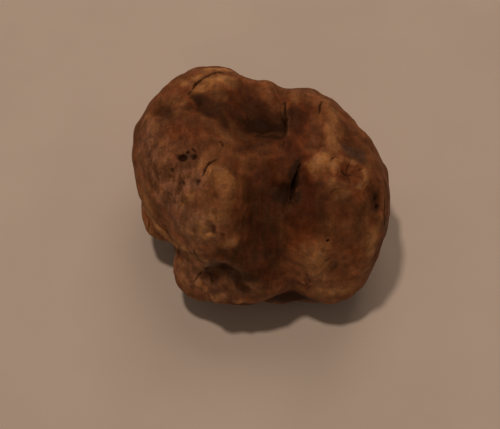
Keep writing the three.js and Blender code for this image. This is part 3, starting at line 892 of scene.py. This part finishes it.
# Tones that a colour is multiplied by: the shade tones paint shade, the worn tone pale skin and painted
# light.
SHADE_TONE = (0.26, 0.235, 0.21, 1)
SHADE_TONE_WARM = (0.37, 0.3, 0.25, 1)
WORN_AND_LIGHT_TONE = (1.38, 1.44, 1.48, 1)
STREAK_DARK = (0.72, 0.7, 0.68, 1)
STREAK_LIGHT = (1.24, 1.22, 1.18, 1)
GRAIN_DARK = (0.88, 0.87, 0.86, 1)
GRAIN_LIGHT = (1.12, 1.12, 1.12, 1)
NODULE_DARK = (0.6, 0.56, 0.53, 1)
NODULE_LIGHT = (1.4, 1.42, 1.48, 1)
CLOUD_DARK = (0.82, 0.8, 0.78, 1)
CLOUD_LIGHT = (1.16, 1.17, 1.18, 1)

# Noises: a wave in mm, a detail, a seed, and a stretch if there is one.
BLOTCHES = (3.2, 4, 1.3)
MOTTLE = (1.3, 4, 2.1)
GRAIN = (0.5, 3, 3.7)
FINE_GRAIN = (0.2, 2, 7.7)
CLOUDS = (2.6, 3, 9.9)
NODULES = (1.5, 3, 8.3, (1, 0.5, 0.5))
STREAKS = (0.9, 3, 4.9, (1, 0.14, 0.14))
PAPER_TONE = (30, 3, 1)
PAPER_GRAIN = (0.5, 2, 2)
SPOTS = (1.25, 5.3)  # a size in mm and a seed
FLECKS = (0.7, 6.1)
NOISE_ROUGHNESS = 0.55
SPECULAR = 0.2


# ---- materials

MIX_INPUTS, MIX_RESULT = (0, 6, 7), 2  # the sockets of a Mix node for colours


class Nodes:
    """Adds nodes to a material and joins them."""

    def __init__(self, name):
        self.material = bpy.data.materials.new(name)
        self.material.use_nodes = True
        self.tree = self.material.node_tree
        self.shader = self.tree.nodes["Principled BSDF"]
        self.place = self.add("TexCoord").outputs["Object"]

    def add(self, kind, settings=None, **inputs):
        node = self.tree.nodes.new("ShaderNode" + kind)
        for name, value in (settings or {}).items():
            setattr(node, name, value)
        for name, value in inputs.items():
            self.feed(node.inputs[name.replace("_", " ")], value)
        return node

    def feed(self, socket, value):
        if isinstance(value, bpy.types.NodeSocket):
            self.tree.links.new(value, socket)
        else:
            socket.default_value = value

    def layer(self, name):
        return self.add("Attribute", {"attribute_name": name}).outputs["Fac"]

    def maths(self, operation, *values):
        node = self.add("Math", {"operation": operation})
        for socket, value in zip(node.inputs, values):
            self.feed(socket, value)
        return node.outputs[0]

    def times(self, first, second):
        return self.maths("MULTIPLY", first, second)

    def moved(self, shift, stretch=(1, 1, 1)):
        """The object's coordinates, moved to a part of the noise of their own."""
        return self.add("Mapping", Vector=self.place, Scale=stretch, Location=shift).outputs[0]

    def noise(self, wave, detail, seed, stretch=(1, 1, 1)):
        """Noise from 0 to 1 with lumps a wave across."""
        place = self.moved((seed, seed * 0.7, -seed), stretch)
        sizes = {"Scale": 1 / (wave * MM), "Detail": detail, "Roughness": NOISE_ROUGHNESS}
        return self.add("TexNoise", Vector=place, **sizes).outputs["Fac"]

    def cells(self, size, seed):
        """How far the nearest of scattered seeds is, in sizes, and its random colour."""
        place = self.moved((seed, -seed, seed * 0.6))
        node = self.add("TexVoronoi", Vector=place, Scale=1 / (size * MM))
        return node.outputs["Distance"], node.outputs["Color"]

    def ramp(self, value, low, high):
        """0 up to low, 1 from high, and smooth between them. Low may be the higher number."""
        smooth = {"interpolation_type": "SMOOTHSTEP"}
        node = self.add("MapRange", smooth, Value=value, From_Min=low, From_Max=high)
        return node.outputs["Result"]

    def blend(self, share, first, second, mode="MIX"):
        node = self.add("Mix", {"data_type": "RGBA", "blend_type": mode})
        for number, value in zip(MIX_INPUTS, (share, first, second)):
            self.feed(node.inputs[number], value)
        return node.outputs[MIX_RESULT]

    def two_tone(self, noise, first, second, softness):
        """The first tone in a noise's lows and the second in its highs."""
        return self.blend(self.ramp(noise, 0.5 - softness, 0.5 + softness), first, second)

    def toned(self, colour, share, tone):
        """The colour, multiplied by a tone in some share."""
        return self.blend(share, colour, self.blend(1, colour, tone, "MULTIPLY"))

    def broken(self, name, noise, spread=0.5, low=0.1, high=0.9):
        """A layer whose edge is broken up by a noise."""
        shift = self.times(self.maths("SUBTRACT", noise, 0.5), spread)
        return self.ramp(self.maths("ADD", self.layer(name), shift), low, high)

    def bump(self, height, distance, **under):
        """The normal of a height in millimetres, on top of a normal under it."""
        return self.add("Bump", Height=height, Distance=distance * MM, **under).outputs["Normal"]

    def finish(self, colour, roughness, normal):
        """Feeds the shader, and gives the material."""
        looks = {"Base Color": colour, "Roughness": roughness, "Specular IOR Level": SPECULAR}
        for name, value in {**looks, "Normal": normal}.items():
            self.feed(self.shader.inputs[name], value)
        return self.material


CREST_SHARE = 0.3
KNOB_SHARE = 0.2
NODULE_SHARE, NODULE_GROWTH = 0.35, 0.55  # on plain skin, and what speckled skin adds
SPOT_SHARE = 0.5
FLECK_SHARE = 0.3
SHADED_SHARE = 0.9
HOLLOW_SHADE_SHARE = 0.5
STAIN_AND_SHADE_SHARE = 0.9
SMOOTHEST, ROUGHEST = 0.6, 0.9


def clean_colour(nodes, blotch, mottle):
    """Browns, reds, ochres and greys of clean skin."""
    layer, times, ramp = nodes.layer, nodes.times, nodes.ramp
    blend, broken = nodes.blend, nodes.broken
    colour = nodes.two_tone(blotch, BROWN_SKIN, RED_SKIN, softness=0.12)
    colour = blend(times(layer("speckled"), ramp(blotch, low=0.3, high=0.6)), colour, MAUVE_SKIN)
    colour = blend(broken("red", mottle), colour, DEEP_RED_SKIN)
    ochre = blend(ramp(mottle, low=0.4, high=0.68), OCHRE_SKIN, TAN_SKIN)
    crest = times(ramp(layer("hollow"), low=-0.05, high=-0.4), ramp(mottle, low=0.32, high=0.6))
    colour = blend(times(crest, CREST_SHARE), colour, ochre)
    colour = blend(broken("ochre", mottle), colour, ochre)
    return blend(broken("grey", mottle), colour, GREY_SKIN)


def spotted_colour(nodes, colour):
    """Clouds, upright nodules, knobs, spots and flecks over a colour."""
    layer, times, ramp, blend = nodes.layer, nodes.times, nodes.ramp, nodes.blend
    clouds = nodes.two_tone(nodes.noise(*CLOUDS), CLOUD_DARK, CLOUD_LIGHT, softness=0.14)
    colour = nodes.toned(colour, 1, clouds)
    nodules = nodes.two_tone(nodes.noise(*NODULES), NODULE_DARK, NODULE_LIGHT, softness=0.14)
    nodular = nodes.maths("MULTIPLY_ADD", layer("speckled"), NODULE_GROWTH, NODULE_SHARE)
    colour = nodes.toned(colour, nodular, nodules)
    colour = blend(times(ramp(layer("dimple"), low=-0.008, high=-0.05), KNOB_SHARE), colour, TAN_SKIN)
    gap, lot = nodes.cells(*SPOTS)
    spots = times(ramp(gap, low=0.4, high=0.12), layer("speckled"))
    light_spots = times(spots, ramp(lot, low=0.6, high=0.75))
    dark_spots = times(spots, ramp(lot, low=0.4, high=0.25))
    colour = blend(times(light_spots, SPOT_SHARE), colour, TAN_SKIN)
    colour = blend(times(dark_spots, SPOT_SHARE), colour, UMBER_SKIN)
    gap, lot = nodes.cells(*FLECKS)
    flecks = times(ramp(gap, low=0.34, high=0.1), ramp(lot, low=0.7, high=0.8))
    return blend(times(flecks, FLECK_SHARE), colour, UMBER_SKIN)


def weathered_colour(nodes, colour, blotch, mottle):
    """Worn skin and painted light, painted shade, stains, and painted shade in hollows and dimples."""
    layer, times, ramp = nodes.layer, nodes.times, nodes.ramp
    blend, broken, toned = nodes.blend, nodes.broken, nodes.toned
    # Pale worn skin and painted light.
    colour = toned(colour, broken("worn_and_painted_light", blotch, spread=0.3), WORN_AND_LIGHT_TONE)
    # Painted shade: the shaded layer darkens the skin by the shade tones.
    shade = nodes.two_tone(blotch, SHADE_TONE, SHADE_TONE_WARM, softness=0.15)
    colour = toned(colour, times(broken("shaded", blotch, spread=0.3), SHADED_SHARE), shade)
    dark = nodes.two_tone(blotch, UMBER_SKIN, BLACK_SKIN, softness=0.08)
    # Painted shade in hollows and dimples.
    colour = blend(times(ramp(layer("hollow"), low=0.08, high=0.6), HOLLOW_SHADE_SHARE), colour, dark)
    colour = blend(times(ramp(layer("dimple"), low=0.012, high=0.08), HOLLOW_SHADE_SHARE), colour, UMBER_SKIN)
    # Dark stains and painted shade, black where they are strongest.
    colour = blend(times(broken("stain_and_shade", mottle, spread=0.4), STAIN_AND_SHADE_SHARE), colour, dark)
    return blend(broken("stain_and_shade", mottle, spread=0.3, low=0.6, high=1), colour, BLACK_SKIN)


def truffle_material():
    nodes = Nodes("truffle_skin")
    blotch = nodes.noise(*BLOTCHES)
    mottle = nodes.noise(*MOTTLE)
    grain = nodes.noise(*GRAIN)

    colour = clean_colour(nodes, blotch, mottle)
    colour = spotted_colour(nodes, colour)
    colour = weathered_colour(nodes, colour, blotch, mottle)
    streaks = nodes.two_tone(nodes.noise(*STREAKS), STREAK_DARK, STREAK_LIGHT, softness=0.2)
    colour = nodes.toned(colour, nodes.layer("streaked"), streaks)
    grains = nodes.two_tone(grain, GRAIN_DARK, GRAIN_LIGHT, softness=0.2)
    colour = nodes.toned(colour, 1, grains)
    # Painted shade: black in the cracks and in the gaps between flakes.
    colour = nodes.blend(nodes.layer("crevice"), colour, BLACK_SKIN)

    rough = nodes.add("MapRange", Value=mottle, To_Min=SMOOTHEST, To_Max=ROUGHEST)
    normal = nodes.bump(mottle, distance=0.12)
    normal = nodes.bump(grain, distance=0.07, Normal=normal)
    normal = nodes.bump(nodes.noise(*FINE_GRAIN), distance=0.03, Normal=normal)
    return nodes.finish(colour, rough.outputs["Result"], normal)


def paper_material():
    nodes = Nodes("paper")
    colour = nodes.two_tone(nodes.noise(*PAPER_TONE), PAPER_SHADE, PAPER, softness=0.2)
    normal = nodes.bump(nodes.noise(*PAPER_GRAIN), distance=0.02)
    return nodes.finish(colour, ROUGHEST, normal)


# ---- floor and light

FLOOR_SIDE = 1.6  # metres
WARM = (1.0, 0.72, 0.53)
DOME_STRENGTH = 0.105

# A small lamp that throws the crisp shadow, and a wide one behind the truffle, in mm and watts.
KEY = {"place": (-120, 60, 750), "size": 60, "power": 1.4}
WINDOW = {"place": (130, 520, 750), "size": 550, "power": 1.3}


def make_floor():
    half = FLOOR_SIDE / 2
    mesh = bpy.data.meshes.new("floor")
    corners = [(-half, -half, 0), (half, -half, 0), (half, half, 0), (-half, half, 0)]
    mesh.from_pydata(corners, [], [(0, 1, 2, 3)])
    mesh.materials.append(paper_material())
    added("floor", mesh)


def make_lamp(name, place, size, power):
    data = bpy.data.lights.new(name, "AREA")
    data.shape = "DISK"
    data.size = size * MM
    data.energy = power
    data.color = WARM
    lamp = added(name, data)
    lamp.location = Vector(place) * MM
    lamp.rotation_euler = (AIM - lamp.location).to_track_quat("-Z", "Y").to_euler()


def make_dome():
    world = bpy.data.worlds.new("dome")
    world.use_nodes = True
    dome = world.node_tree.nodes["Background"]
    dome.inputs["Color"].default_value = (*WARM, 1)
    dome.inputs["Strength"].default_value = DOME_STRENGTH
    bpy.context.scene.world = world


make_camera()
bpy.context.scene.view_settings.view_transform = "Standard"

skin = fine_copy("truffle")
dress(skin)
skin.data.materials.append(truffle_material())
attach(skin, "root")
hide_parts("truffle")

make_floor()
make_lamp("key", **KEY)
make_lamp("window", **WINDOW)
make_dome()
